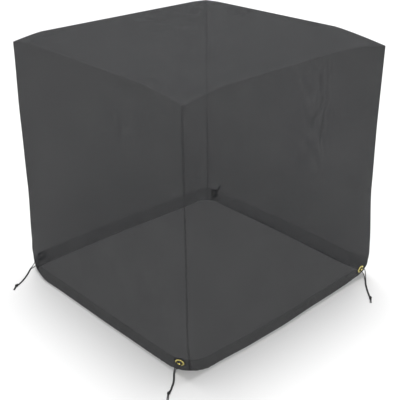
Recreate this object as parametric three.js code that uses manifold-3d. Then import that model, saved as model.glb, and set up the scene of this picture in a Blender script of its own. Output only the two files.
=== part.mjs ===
// A square outdoor cover of sheer mesh, standing in its fitted shape: a top panel, four wall
// panels with a deep hem, four brass grommets in the hem and a knotted cord tie at each of them.
// Millimetres, +Z up. The origin is the middle of the top panel's underside. -Y is the front wall.

import * as THREE from "three";
import { mergeVertices } from "three/addons/utils/BufferGeometryUtils.js";
import Module from "manifold-3d";

const wasm = await Module();
wasm.setup();

// Driving sizes
const TOP_WIDTH = 914; // the square top, from seam to seam
const STAND_HEIGHT = 950; // floor to the upper face of the top
const CLOTH = 2; // thickness of the mesh cloth
const HEM_HEIGHT = 60;
const HEM_PLY = 0.7; // what the folded hem adds on each face
const SEAM_GAP = 0.3; // between the edges of two sewn panels
const SEAM_RADIUS = 4; // plan rounding of a sewn corner
const BULGE_HEIGHT = 420; // below this the walls bow towards the hem line

const GROMMET_OUTER = 32;
const GROMMET_HOLE = 17;
const GROMMET_BARREL = 1; // wall of the barrel
const GROMMET_FLANGE = 2.2; // height of the rolled face
const GROMMET_CLEARANCE = 0.3;
const GROMMET_HEIGHT = 40; // above the hem's lower edge
const GROMMET_FLAT = 17.5; // half the square of cloth that the grommet holds flat
const GROMMET_SEGMENTS = 20;

const CORD = 3.1; // diameter of the drawcord
const CORD_SIDES = 8;
const STRAND_STEPS = 26;
const KNOT_LENGTH = 13;
const KNOT_RADIUS = 5.2;
const STRAND_SPREAD = 1.72; // half the distance between a tie's two strands on the floor
const KNOT_GAP = 0.4; // between the strands' ends and the knot
const KNOT_SEGMENTS = 10;
const TAIL_LENGTH = 22;
const TAIL_SPLAY = 0.6; // how far each cut end leans out

const HALF = TOP_WIDTH / 2;
const FLOOR = CLOTH - STAND_HEIGHT;

// How each corner stands. droop: how far the top's corner hangs; reach: where the droop starts,
// measured in from the corner; hemRadius: plan rounding at the hem, full below roundFrom and gone
// above roundTo; lift: hem off the floor.
const CORNERS = {
  front_left: { sx: -1, sy: -1, droop: 17, reach: 85, hemRadius: 26, roundFrom: 0, roundTo: 120, lift: 0 },
  front_right: { sx: 1, sy: -1, droop: 22, reach: 115, hemRadius: 96, roundFrom: 34, roundTo: 160, lift: 0 },
  back_right: { sx: 1, sy: 1, droop: 30, reach: 160, hemRadius: 16, roundFrom: 0, roundTo: 120, lift: 11 },
  back_left: { sx: -1, sy: 1, droop: 4, reach: 60, hemRadius: 60, roundFrom: 20, roundTo: 140, lift: 3 },
};

// How far each corner seam stands outside the top's corner, by height above the floor
const STAND_OFF = [
  { height: 950, front_left: 0, front_right: 0, back_right: 0, back_left: 0 },
  { height: 665, front_left: 7.6, front_right: 3, back_right: -0.5, back_left: 3 },
  { height: 380, front_left: 12, front_right: 7, back_right: 2.5, back_left: 6 },
  { height: 142, front_left: 21, front_right: 14, back_right: 13.5, back_left: 12 },
  { height: 85, front_left: 25, front_right: 13, back_right: 15.5, back_left: 12 },
  { height: 40, front_left: 27, front_right: 8, back_right: 14, back_left: 9 },
  { height: 18, front_left: 25.5, front_right: 4, back_right: 8.5, back_left: 6 },
  { height: 0, front_left: 21, front_right: 0.5, back_right: 1, back_left: 4 },
];

// The four walls, seen from outside: the left end, the right end, the way they face, and how far
// along the cloth the middle of the grommet is from the right end's seam
const WALLS = {
  front: { left: "front_left", right: "front_right", facing: -90, grommetToSeam: 30 },
  right: { left: "front_right", right: "back_right", facing: 0, grommetToSeam: 43 },
  back: { left: "back_right", right: "back_left", facing: 90, grommetToSeam: 35 },
  left: { left: "back_left", right: "front_left", facing: 180, grommetToSeam: 34 },
};

// How far the hem bows out of the line between its corners; share runs from left end to right end
const HEM_LINE = {
  front: [
    { share: 0, out: 0 },
    { share: 0.12, out: 22 },
    { share: 0.25, out: 18 },
    { share: 0.5, out: 14.5 },
    { share: 0.75, out: 8 },
    { share: 1, out: 0 },
  ],
  right: [
    { share: 0, out: 0 },
    { share: 0.14, out: 3 },
    { share: 0.3, out: 11 },
    { share: 0.47, out: 13 },
    { share: 0.67, out: 6.5 },
    { share: 0.88, out: 3 },
    { share: 1, out: 0 },
  ],
  back: [
    { share: 0, out: 0 },
    { share: 0.25, out: 8 },
    { share: 0.5, out: 12 },
    { share: 0.8, out: 7 },
    { share: 1, out: 0 },
  ],
  left: [
    { share: 0, out: 0 },
    { share: 0.25, out: 9 },
    { share: 0.5, out: 13 },
    { share: 0.8, out: 9 },
    { share: 1, out: 0 },
  ],
};

// Soft folds in the walls: across is the place along the wall and width the fold's width, both in
// shares of the wall; from and to are heights above the floor; lean moves the fold along the wall
// from its foot to its top, as a share; depth is positive outwards.
const FOLDS = {
  front: [
    { across: 0.2, width: 0.16, from: 120, to: 940, lean: -0.14, depth: -4 },
    { across: 0.42, width: 0.2, from: 60, to: 700, lean: 0.03, depth: 3 },
    { across: 0.78, width: 0.16, from: 90, to: 900, lean: 0.13, depth: -3.5 },
  ],
  right: [
    { across: 0.16, width: 0.15, from: 100, to: 920, lean: -0.1, depth: -3.5 },
    { across: 0.55, width: 0.22, from: 50, to: 640, lean: -0.04, depth: 3 },
    { across: 0.8, width: 0.17, from: 110, to: 930, lean: 0.12, depth: -4.5 },
  ],
  back: [
    { across: 0.22, width: 0.18, from: 100, to: 930, lean: -0.13, depth: -4.5 },
    { across: 0.5, width: 0.2, from: 70, to: 620, lean: 0.02, depth: 3 },
    { across: 0.82, width: 0.14, from: 120, to: 860, lean: 0.06, depth: -2.5 },
  ],
  left: [
    { across: 0.15, width: 0.14, from: 120, to: 860, lean: -0.05, depth: -2.5 },
    { across: 0.47, width: 0.2, from: 60, to: 680, lean: 0.04, depth: 3 },
    { across: 0.76, width: 0.18, from: 100, to: 930, lean: 0.13, depth: -4 },
  ],
};

// Wall grid: heights of its rows above the floor, and its columns by distance from the seams
const FLAT_TOP = GROMMET_HEIGHT + GROMMET_FLAT;
const FLAT_FOOT = GROMMET_HEIGHT - GROMMET_FLAT;
const HEM_STEP = 0.6;
const ROWS = [
  STAND_HEIGHT, 905, 830, 740, 640, 540, 450, 370, 300, 235, 180, 140, 108, 82, 64,
  HEM_HEIGHT + HEM_STEP, HEM_HEIGHT, FLAT_TOP, GROMMET_HEIGHT, FLAT_FOOT, 0,
];
const LEFT_COLUMNS = [0, 1.6, 6, 18, 34, 56, 86];
const MIDDLE_SHARES = [0.13, 0.26, 0.4, 0.54, 0.68, 0.82];
const RIGHT_REACH = 112;
const KNOT_TURNS = [
  { along: 0, radius: 0 },
  { along: 0, radius: 4.1 },
  { along: 0.12, radius: 5 },
  { along: 0.28, radius: KNOT_RADIUS },
  { along: 0.43, radius: 4.7 },
  { along: 0.5, radius: 4.3 },
  { along: 0.57, radius: 4.7 },
  { along: 0.72, radius: KNOT_RADIUS },
  { along: 0.88, radius: 4.9 },
  { along: 1, radius: 3.6 },
  { along: 1, radius: 0 },
];
const TOP_LINES = [0, 6, 24, 46, 74, 106, 140, 176, 216, 270, 350, HALF]; // in from an edge

const clothMaterial = new THREE.MeshStandardMaterial({ color: 0x1f2022, roughness: 0.85, metalness: 0 });
const brassMaterial = new THREE.MeshStandardMaterial({ color: 0xd9c04a, roughness: 0.3, metalness: 1 });
const cordMaterial = new THREE.MeshStandardMaterial({ color: 0x2b2b2c, roughness: 0.8, metalness: 0 });

const smooth = (t) => THREE.MathUtils.smoothstep(t, 0, 1);

// Straight-line lookup in a table whose rows run along one column
function lookUp(table, along, value, column) {
  const rising = table[0][along] < table[table.length - 1][along];
  const rows = rising ? table : [...table].reverse();
  const next = rows.findIndex((row) => row[along] >= value);
  if (next <= 0) return next === 0 ? rows[0][column] : rows[rows.length - 1][column];
  const low = rows[next - 1];
  const high = rows[next];
  const t = (value - low[along]) / (high[along] - low[along]);
  return THREE.MathUtils.lerp(low[column], high[column], smooth(t) * 0.5 + t * 0.5);
}

// Upper face of the top panel: flat, with its four corners hanging past a soft crease
function topHeight(x, y) {
  let height = CLOTH;
  for (const corner of Object.values(CORNERS)) {
    const inFromCorner = Math.SQRT1_2 * (2 * HALF - x * corner.sx - y * corner.sy);
    const t = Math.max(0, 1 - inFromCorner / corner.reach);
    height -= corner.droop * t ** 1.3;
  }
  return height;
}

// Height of the top's upper face along its edge, as its straight facets have it
function edgeHeight(x, y) {
  const alongX = Math.abs(y) > Math.abs(x);
  const along = Math.abs(alongX ? x : y);
  const sign = Math.sign(alongX ? x : y) || 1;
  const side = HALF * Math.sign(alongX ? y : x);
  const inFromEnd = HALF - along;
  const next = Math.max(1, TOP_LINES.findIndex((line) => line >= inFromEnd));
  const heightAt = (line) => {
    const place = sign * (HALF - line);
    return alongX ? topHeight(place, side) : topHeight(side, place);
  };
  const t = (inFromEnd - TOP_LINES[next - 1]) / (TOP_LINES[next] - TOP_LINES[next - 1]);
  return THREE.MathUtils.lerp(heightAt(TOP_LINES[next - 1]), heightAt(TOP_LINES[next]), t);
}

function cornerRadius(name, height) {
  const { hemRadius, roundFrom, roundTo } = CORNERS[name];
  return THREE.MathUtils.lerp(SEAM_RADIUS, hemRadius, smooth((roundTo - height) / (roundTo - roundFrom)));
}

// Moves a plan point out with the corners around it
function withStandOff(x, y, height) {
  const shift = new THREE.Vector2();
  for (const [name, corner] of Object.entries(CORNERS)) {
    const weight = (0.25 * (HALF + corner.sx * x) * (HALF + corner.sy * y)) / HALF ** 2;
    const out = lookUp(STAND_OFF, "height", height, name);
    shift.x += weight * out * corner.sx;
    shift.y += weight * out * corner.sy;
  }
  return new THREE.Vector2(x + shift.x, y + shift.y);
}

// Plan of one end of a wall in the wall's own line: along is measured to the end's corner
function endOfWall(fromSeam, radius) {
  const arc = (radius * Math.PI) / 4;
  if (fromSeam >= arc) return { along: HALF - radius - (fromSeam - arc), depth: HALF, turn: 0 };
  const turn = Math.PI / 4 - fromSeam / radius;
  return {
    along: HALF - radius + radius * Math.sin(turn),
    depth: HALF - radius + radius * Math.cos(turn),
    turn,
  };
}

// A column is {end: "left" or "right", fromSeam} or {share}
function planOfColumn(wall, column, height) {
  const leftRadius = cornerRadius(wall.left, height);
  const rightRadius = cornerRadius(wall.right, height);
  if (column.end === "left") {
    const plan = endOfWall(column.fromSeam, leftRadius);
    return { along: -plan.along, depth: plan.depth, turn: -plan.turn };
  }
  if (column.end === "right") return endOfWall(column.fromSeam, rightRadius);
  const first = -endOfWall(LEFT_COLUMNS[LEFT_COLUMNS.length - 1], leftRadius).along;
  const last = endOfWall(RIGHT_REACH, rightRadius).along;
  return { along: THREE.MathUtils.lerp(first, last, column.share), depth: HALF, turn: 0 };
}

function foldDepth(name, share, height) {
  let depth = 0;
  for (const fold of FOLDS[name]) {
    const up = (height - fold.from) / (fold.to - fold.from);
    if (up <= 0 || up >= 1) continue;
    const across = (share - fold.across - fold.lean * up) / fold.width;
    if (Math.abs(across) >= 1) continue;
    depth += fold.depth * Math.cos((across * Math.PI) / 2) ** 2 * Math.sin(up * Math.PI) ** 0.7;
  }
  const fromSeams = Math.min(share, 1 - share) / 0.06;
  return depth * smooth(fromSeams);
}

// Middle of the cloth at a column and a height, and the way its outer face looks there
function clothPoint(name, column, height) {
  const wall = WALLS[name];
  const facing = THREE.MathUtils.degToRad(wall.facing);
  const outward = new THREE.Vector2(Math.cos(facing), Math.sin(facing));
  const rightward = new THREE.Vector2(-outward.y, outward.x);
  const plan = planOfColumn(wall, column, height);
  const flat = rightward.clone().multiplyScalar(plan.along).addScaledVector(outward, plan.depth);
  const share = (plan.along + HALF) / TOP_WIDTH;
  const spot = withStandOff(flat.x, flat.y, height);
  const look = outward.clone().rotateAround(new THREE.Vector2(), plan.turn);
  const bow = lookUp(HEM_LINE[name], "share", share, "out") * (1 - smooth(height / BULGE_HEIGHT));
  spot.addScaledVector(outward, bow);
  spot.addScaledVector(look, foldDepth(name, share, height) - CLOTH / 2);
  if (column.fromSeam === 0) {
    const back = (column.end === "right" ? -SEAM_GAP : SEAM_GAP) / 2;
    spot.add(new THREE.Vector2(-look.y, look.x).multiplyScalar(back * 1.2));
  }
  const seamTop = edgeHeight(flat.x, flat.y) - CLOTH - SEAM_GAP;
  let foot = FLOOR;
  for (const end of [wall.left, wall.right]) {
    const corner = CORNERS[end];
    const away = Math.hypot(flat.x - corner.sx * HALF, flat.y - corner.sy * HALF);
    foot += corner.lift * Math.max(0, 1 - away / 190) ** 2;
  }
  const z = THREE.MathUtils.lerp(foot, seamTop, height / STAND_HEIGHT);
  return { point: new THREE.Vector3(spot.x, spot.y, z), look: new THREE.Vector3(look.x, look.y, 0) };
}

// The flat that a grommet makes in the cloth: its middle and the way it faces
function grommetSeat(name) {
  const { grommetToSeam: toSeam } = WALLS[name];
  const near = { end: "right", fromSeam: toSeam - GROMMET_FLAT };
  const far = { end: "right", fromSeam: toSeam + GROMMET_FLAT };
  const nearFoot = clothPoint(name, near, FLAT_FOOT).point;
  const nearTop = clothPoint(name, near, FLAT_TOP).point;
  const farFoot = clothPoint(name, far, FLAT_FOOT).point;
  const farTop = clothPoint(name, far, FLAT_TOP).point;
  const across = nearFoot.clone().add(nearTop).sub(farFoot).sub(farTop).setZ(0).normalize();
  const rise = nearTop.clone().add(farTop).sub(nearFoot).sub(farFoot);
  rise.addScaledVector(across, -rise.dot(across)).normalize();
  const normal = across.clone().cross(rise).normalize();
  const middle = nearFoot.clone().add(nearTop).add(farFoot).add(farTop).multiplyScalar(0.25);
  return { middle, normal, across, rise, toSeam };
}

const seats = Object.fromEntries(Object.keys(WALLS).map((name) => [name, grommetSeat(name)]));

// Pulls the cloth around a grommet onto the grommet's plane, and leaves the seam where it is
function flattened(cloth, seat) {
  const from = cloth.point.clone().sub(seat.middle);
  const away = Math.hypot(from.dot(seat.across), from.dot(seat.rise));
  const full = GROMMET_FLAT * 1.45;
  const share = 1 - smooth((away - full) / (seat.toSeam - full - 0.5));
  const point = cloth.point.clone().addScaledVector(seat.normal, -from.dot(seat.normal) * share);
  const look = cloth.look.clone().lerp(seat.normal, share).normalize();
  return { point, look };
}

function isHem(height) {
  return height <= HEM_HEIGHT;
}

// A closed sheet from its outer and inner grids, rows from top to foot, columns from left to right
function closedSheet(outer, inner) {
  const rows = outer.length;
  const columns = outer[0].length;
  const size = rows * columns;
  const positions = [...outer.flat(), ...inner.flat()].flatMap((p) => [p.x, p.y, p.z]);
  const index = [];
  const quad = (a, b, c, d) => index.push(a, b, c, a, c, d);
  const at = (row, column) => row * columns + column;
  for (let row = 0; row < rows - 1; row += 1) {
    for (let column = 0; column < columns - 1; column += 1) {
      const corners = [at(row, column), at(row + 1, column), at(row + 1, column + 1), at(row, column + 1)];
      quad(...corners);
      quad(...corners.map((k) => k + size).reverse());
    }
  }
  for (let column = 0; column < columns - 1; column += 1) {
    quad(at(0, column), at(0, column + 1), at(0, column + 1) + size, at(0, column) + size);
    const foot = rows - 1;
    quad(at(foot, column + 1), at(foot, column), at(foot, column) + size, at(foot, column + 1) + size);
  }
  for (let row = 0; row < rows - 1; row += 1) {
    quad(at(row + 1, 0), at(row, 0), at(row, 0) + size, at(row + 1, 0) + size);
    const end = columns - 1;
    quad(at(row, end), at(row + 1, end), at(row + 1, end) + size, at(row, end) + size);
  }
  const geometry = new THREE.BufferGeometry();
  geometry.setAttribute("position", new THREE.Float32BufferAttribute(positions, 3));
  geometry.setIndex(index);
  return geometry;
}

function toSolid(geometry) {
  const bare = geometry.clone();
  for (const attribute of ["normal", "uv"]) bare.deleteAttribute(attribute);
  const merged = mergeVertices(bare, 1e-4);
  const mesh = new wasm.Mesh({
    numProp: 3,
    vertProperties: new Float32Array(merged.attributes.position.array),
    triVerts: new Uint32Array(merged.index.array),
  });
  return new wasm.Manifold(mesh);
}

function toGeometry(solid) {
  const mesh = solid.getMesh();
  const geometry = new THREE.BufferGeometry();
  geometry.setAttribute("position", new THREE.BufferAttribute(new Float32Array(mesh.vertProperties), 3));
  geometry.setIndex(new THREE.BufferAttribute(new Uint32Array(mesh.triVerts), 1));
  geometry.computeVertexNormals();
  return geometry;
}

// Turns a shape made around the Y axis to stand on a grommet's seat
function placeOnSeat(geometry, seat) {
  const turn = new THREE.Quaternion().setFromUnitVectors(new THREE.Vector3(0, 1, 0), seat.normal);
  return geometry.applyQuaternion(turn).translate(...seat.middle);
}

function wallPanel(name) {
  const { toSeam } = seats[name];
  const rightColumns = [RIGHT_REACH, 80, toSeam + GROMMET_FLAT, toSeam, toSeam - GROMMET_FLAT, 6, 1.6, 0];
  const columns = [
    ...LEFT_COLUMNS.map((fromSeam) => ({ end: "left", fromSeam })),
    ...MIDDLE_SHARES.map((share) => ({ share })),
    ...rightColumns.map((fromSeam) => ({ end: "right", fromSeam })),
  ];
  const outer = [];
  const inner = [];
  for (const height of ROWS) {
    const half = CLOTH / 2 + (isHem(height) ? HEM_PLY : 0);
    const row = columns.map((column) => flattened(clothPoint(name, column, height), seats[name]));
    outer.push(row.map(({ point, look }) => point.clone().addScaledVector(look, half)));
    inner.push(row.map(({ point, look }) => point.clone().addScaledVector(look, -half)));
  }
  const sheet = toSolid(closedSheet(outer, inner));
  // The hole goes through the outer ply alone, into the tunnel of the hem
  const hole = GROMMET_HOLE / 2 + GROMMET_BARREL + GROMMET_CLEARANCE;
  const punch = new THREE.CylinderGeometry(hole, hole, 4 * CLOTH, GROMMET_SEGMENTS);
  punch.translate(0, 2 * CLOTH - GROMMET_CLEARANCE, 0);
  return toGeometry(sheet.subtract(toSolid(placeOnSeat(punch, seats[name]))));
}

function topPanel() {
  const firstHalf = TOP_LINES.map((line) => line - HALF);
  const secondHalf = [...firstHalf].reverse().slice(1).map((line) => -line);
  const lines = [...firstHalf, ...secondHalf];
  const grid = (lower) =>
    [...lines].reverse().map((y) =>
      lines.map((x) => {
        // A square's corner point comes in by the seam's small rounding
        const isCorner = Math.abs(x) === HALF && Math.abs(y) === HALF;
        const trim = isCorner ? SEAM_RADIUS * (1 - Math.SQRT1_2) : 0;
        const px = x - Math.sign(x) * trim;
        const py = y - Math.sign(y) * trim;
        return new THREE.Vector3(px, py, topHeight(px, py) - lower);
      }),
    );
  return closedSheet(grid(0), grid(CLOTH));
}

// The ring's section, from the foot of its barrel up to the rolled face and back
function grommetRing() {
  const seat = CLOTH / 2 + HEM_PLY + GROMMET_CLEARANCE;
  const bore = GROMMET_HOLE / 2;
  const barrel = bore + GROMMET_BARREL;
  const rim = GROMMET_OUTER / 2;
  const crown = seat + GROMMET_FLANGE;
  const outline = [
    new THREE.Vector2(bore, 0),
    new THREE.Vector2(barrel, 0),
    new THREE.Vector2(barrel, seat),
    new THREE.Vector2(rim, seat),
    new THREE.Vector2(rim - 0.5, seat + 1.1),
    new THREE.Vector2(rim - 1.8, crown - 0.3),
    new THREE.Vector2(rim - 3.4, crown),
    new THREE.Vector2(bore + 1.6, crown - 0.4),
    new THREE.Vector2(bore, seat + 0.6),
    new THREE.Vector2(bore, 0),
  ];
  return new THREE.LatheGeometry(outline, GROMMET_SEGMENTS);
}

// The ties. Each strand has a head of its own, from inside its grommet down to the floor: across
// (towards the seam), up and out are measured from the middle of the grommet. Both strands then
// lie side by side along one run to the knot, whose height is above the floor. tailTurn is how
// far, in degrees, the cut ends turn from the end of the run.
const TIES = {
  front: {
    tailTurn: 16,
    heads: {
      a: [
        { across: 2.4, up: -2, out: 1.1 },
        { across: 3.4, up: -4.6, out: 3.4 },
        { across: 3.6, up: -8.2, out: 5.6 },
        { across: 1.4, up: -12.4, out: 7 },
        { across: -2.4, up: -16.8, out: 7.8 },
        { across: -6.8, up: -21, out: 8.2 },
        { across: -11, up: -25, out: 10.6 },
      ],
      b: [
        { across: -2.4, up: 0.4, out: 1.1 },
        { across: -5, up: 0.6, out: 2.8 },
        { across: -8.6, up: -0.6, out: 5.6 },
        { across: -12.6, up: -4, out: 7.2 },
        { across: -15.8, up: -9.6, out: 7.8 },
        { across: -17.6, up: -16.2, out: 7.8 },
        { across: -17.8, up: -22.4, out: 9 },
      ],
    },
    run: [
      { x: 399.4, y: -469.8, height: 5 },
      { x: 402.6, y: -473.6, height: 2.4 },
      { x: 407, y: -478.4, height: 1.6 },
      { x: 411.8, y: -483, height: 1.6 },
      { x: 417.4, y: -487.8, height: 1.6 },
      { x: 425.5, y: -494.4, height: 1.6 },
      { x: 434.5, y: -503.2, height: 1.6 },
      { x: 442.5, y: -512.6, height: 1.6 },
      { x: 449.5, y: -522.2, height: 1.6 },
      { x: 456.4, y: -531.2, height: 1.6 },
      { x: 461.6, y: -539.6, height: 1.9 },
      { x: 465, y: -545.8, height: 3 },
    ],
  },
  right: {
    tailTurn: -12,
    heads: {
      a: [
        { across: 2, up: 1.4, out: 1.1 },
        { across: 4.6, up: 1.8, out: 2.8 },
        { across: 8.4, up: 1.2, out: 5.6 },
        { across: 12.8, up: -0.8, out: 7.2 },
        { across: 18, up: -4.8, out: 7.8 },
        { across: 22.8, up: -10.8, out: 8.8 },
        { across: 25.6, up: -18, out: 10.8 },
        { across: 26, up: -25.6, out: 13.6 },
        { across: 23.6, up: -32.2, out: 17.6 },
        { across: 19.2, up: -36.8, out: 22.4 },
      ],
      b: [
        { across: -1.6, up: -2.6, out: 1.1 },
        { across: -0.4, up: -5.2, out: 3 },
        { across: 2, up: -8.2, out: 5.6 },
        { across: 5.4, up: -11.4, out: 7 },
        { across: 9.6, up: -15.8, out: 7.8 },
        { across: 13.2, up: -21.6, out: 10.2 },
        { across: 15, up: -28, out: 13.8 },
        { across: 14.4, up: -33.6, out: 18.4 },
        { across: 11.6, up: -37.2, out: 23.6 },
      ],
    },
    run: [
      { x: 492.4, y: 430.8, height: 2 },
      { x: 496.4, y: 426, height: 1.6 },
      { x: 501.6, y: 419.6, height: 1.6 },
      { x: 508.4, y: 411, height: 1.6 },
      { x: 516, y: 402.2, height: 1.6 },
      { x: 524.6, y: 393.4, height: 1.6 },
      { x: 534.6, y: 383.4, height: 1.6 },
      { x: 545.8, y: 372.6, height: 1.6 },
      { x: 557.6, y: 361.8, height: 1.6 },
      { x: 569.4, y: 351.6, height: 1.8 },
      { x: 579.4, y: 343, height: 3 },
    ],
  },
  back: {
    tailTurn: 14,
    heads: {
      a: [
        { across: 2, up: 1.4, out: 1.1 },
        { across: 4.8, up: 1.6, out: 2.8 },
        { across: 8.6, up: 0.8, out: 5.6 },
        { across: 12.8, up: -1.8, out: 7.2 },
        { across: 17.4, up: -7, out: 7.8 },
        { across: 21.2, up: -14.4, out: 8.8 },
        { across: 24, up: -22.4, out: 12 },
        { across: 26.4, up: -29.8, out: 16.8 },
      ],
      b: [
        { across: -1.6, up: -2.6, out: 1.1 },
        { across: -0.6, up: -5.4, out: 3.2 },
        { across: 1.2, up: -9, out: 5.8 },
        { across: 3.8, up: -13.4, out: 7.4 },
        { across: 7.6, up: -19, out: 8 },
        { across: 12.2, up: -25.2, out: 11 },
        { across: 17, up: -30.8, out: 15.4 },
        { across: 21.8, up: -35.2, out: 20.6 },
      ],
    },
    run: [
      { x: -448.6, y: 489.4, height: 2.2 },
      { x: -453.4, y: 494.2, height: 1.6 },
      { x: -459.6, y: 500.6, height: 1.6 },
      { x: -467.8, y: 509.8, height: 1.6 },
      { x: -475.8, y: 521, height: 1.6 },
      { x: -483.4, y: 533.2, height: 1.6 },
      { x: -490.2, y: 546.2, height: 1.6 },
      { x: -496, y: 559.2, height: 1.8 },
      { x: -499.6, y: 568, height: 3 },
    ],
  },
  left: {
    tailTurn: 18,
    heads: {
      a: [
        { across: -1.4, up: -2.6, out: 1.1 },
        { across: -1, up: -5.4, out: 3.2 },
        { across: 0.4, up: -9, out: 5.8 },
        { across: 3, up: -13.8, out: 7.4 },
        { across: 7.4, up: -20, out: 7.8 },
        { across: 14, up: -26.8, out: 6.8 },
        { across: 22.6, up: -32.6, out: 5.4 },
        { across: 32.4, up: -36, out: 4.8 },
        { across: 42.2, up: -37.6, out: 4 },
      ],
      b: [
        { across: 2.4, up: 1.2, out: 1.1 },
        { across: 5.2, up: 1, out: 3 },
        { across: 9, up: 0, out: 5.6 },
        { across: 13.4, up: -2.6, out: 7.2 },
        { across: 19.2, up: -8, out: 7.8 },
        { across: 27, up: -16, out: 6.6 },
        { across: 35.6, up: -24.4, out: 5 },
        { across: 44.2, up: -31.6, out: 4.8 },
      ],
    },
    run: [
      { x: -482.4, y: -497.6, height: 2 },
      { x: -476.6, y: -504.4, height: 1.6 },
      { x: -469, y: -512.8, height: 1.6 },
      { x: -460, y: -522.6, height: 1.6 },
      { x: -449.4, y: -534.6, height: 1.6 },
      { x: -439.6, y: -547, height: 1.6 },
      { x: -430.4, y: -559.6, height: 1.6 },
      { x: -422, y: -572.4, height: 1.6 },
      { x: -414.4, y: -586.6, height: 1.8 },
      { x: -409.8, y: -597.4, height: 3 },
    ],
  },
};
const SIDES = { a: 1, b: -1 }; // of the run

function strandCurve(name, letter) {
  const { middle, across, rise, normal } = seats[name];
  const { heads, run } = TIES[name];
  const head = heads[letter].map((spot) =>
    middle.clone().addScaledVector(across, spot.across).addScaledVector(rise, spot.up).addScaledVector(normal, spot.out),
  );
  const line = run.map(({ x, y, height }) => new THREE.Vector3(x, y, FLOOR + height));
  const points = line.map((spot, index) => {
    const before = line[Math.max(0, index - 1)];
    const after = line[Math.min(line.length - 1, index + 1)];
    const beside = new THREE.Vector3(before.y - after.y, after.x - before.x, 0).normalize();
    return spot.clone().addScaledVector(beside, SIDES[letter] * STRAND_SPREAD);
  });
  return new THREE.CatmullRomCurve3([...head, ...points], false, "centripetal");
}

function strandTube(curve) {
  const section = new THREE.Shape();
  for (let corner = 0; corner < CORD_SIDES; corner += 1) {
    const angle = (corner * 2 * Math.PI) / CORD_SIDES;
    const draw = corner === 0 ? "moveTo" : "lineTo";
    section[draw]((CORD / 2) * Math.cos(angle), (CORD / 2) * Math.sin(angle));
  }
  section.closePath();
  return new THREE.ExtrudeGeometry(section, { steps: STRAND_STEPS, extrudePath: curve, bevelEnabled: false });
}

// A straight piece of cord between two points
function cordPiece(from, to) {
  const piece = new THREE.CylinderGeometry(CORD / 2, CORD / 2, from.distanceTo(to), CORD_SIDES);
  const along = to.clone().sub(from).normalize();
  piece.applyQuaternion(new THREE.Quaternion().setFromUnitVectors(new THREE.Vector3(0, 1, 0), along));
  const middle = from.clone().lerp(to, 0.5);
  return toSolid(piece.translate(middle.x, middle.y, middle.z));
}

// The overhand knot that joins two strands: a barrel of two turns, and the two cut ends past it
function tieKnot({ run, tailTurn }) {
  const [before, last] = run.slice(-2);
  const heading = new THREE.Vector3(last.x - before.x, last.y - before.y, 0).normalize();
  const across = new THREE.Vector3(-heading.y, heading.x, 0);
  const face = new THREE.Vector3(last.x, last.y, FLOOR + KNOT_RADIUS).addScaledVector(heading, KNOT_GAP);
  const outline = KNOT_TURNS.map(({ along, radius }) => new THREE.Vector2(radius, along * KNOT_LENGTH));
  const barrel = new THREE.LatheGeometry(outline, KNOT_SEGMENTS);
  barrel.applyQuaternion(new THREE.Quaternion().setFromUnitVectors(new THREE.Vector3(0, 1, 0), heading));
  let knot = toSolid(barrel.translate(face.x, face.y, face.z));
  const tail = heading.clone().applyAxisAngle(new THREE.Vector3(0, 0, 1), THREE.MathUtils.degToRad(tailTurn));
  for (const side of [-1, 1]) {
    const from = face.clone().addScaledVector(heading, KNOT_LENGTH - CORD).addScaledVector(across, side * CORD * 0.52);
    const to = from.clone().addScaledVector(tail, TAIL_LENGTH).addScaledVector(across, side * TAIL_SPLAY);
    to.z = FLOOR + CORD * 0.58;
    knot = knot.add(cordPiece(from, to));
  }
  return toGeometry(knot);
}

function named(name, geometry, material) {
  const mesh = new THREE.Mesh(geometry, material);
  mesh.name = name;
  return mesh;
}

const cover = new THREE.Group();
cover.add(named("top_panel", topPanel(), clothMaterial));
for (const name of Object.keys(WALLS)) {
  cover.add(named(`wall_${name}`, wallPanel(name), clothMaterial));
  cover.add(named(`grommet_${name}`, placeOnSeat(grommetRing(), seats[name]), brassMaterial));
}
for (const [name, tie] of Object.entries(TIES)) {
  for (const letter of Object.keys(SIDES)) {
    cover.add(named(`cord_${name}_${letter}`, strandTube(strandCurve(name, letter)), cordMaterial));
  }
  cover.add(named(`knot_${name}`, tieKnot(tie), cordMaterial));
}

export default cover;
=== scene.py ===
"""Looks of a fitted mesh cover with a drawn hem, four brass grommets and four knotted cord ties.

The cover stands in its fitted shape. Metres, +Z up. The origin is the middle of the top panel's
underside, and -Y is the front wall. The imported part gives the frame, and every sheet, ring, cord,
knot and row of stitches here stands for a piece of it or lies on one.
"""

import math
from bisect import bisect_right

import bpy
from bpy.props import FloatProperty, FloatVectorProperty, IntProperty, PointerProperty
from bpy.types import Operator, Panel, PropertyGroup
from mathutils import Matrix, Vector


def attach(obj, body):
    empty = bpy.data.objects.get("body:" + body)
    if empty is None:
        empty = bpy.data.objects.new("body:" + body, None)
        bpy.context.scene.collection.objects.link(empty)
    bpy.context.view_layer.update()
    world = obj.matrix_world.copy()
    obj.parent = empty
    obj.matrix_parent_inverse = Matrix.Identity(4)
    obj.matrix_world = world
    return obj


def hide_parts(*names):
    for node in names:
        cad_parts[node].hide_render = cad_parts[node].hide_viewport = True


bl_info = {
    "name": "Fitted Mesh Cover",
    "version": (1, 0, 0),
    "blender": (4, 5, 0),
    "location": "View3D > Sidebar > Mesh Cover",
    "description": "Builds the sheer panels, grommets, ties and stitching of a fitted mesh cover",
    "category": "Object",
}

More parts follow.
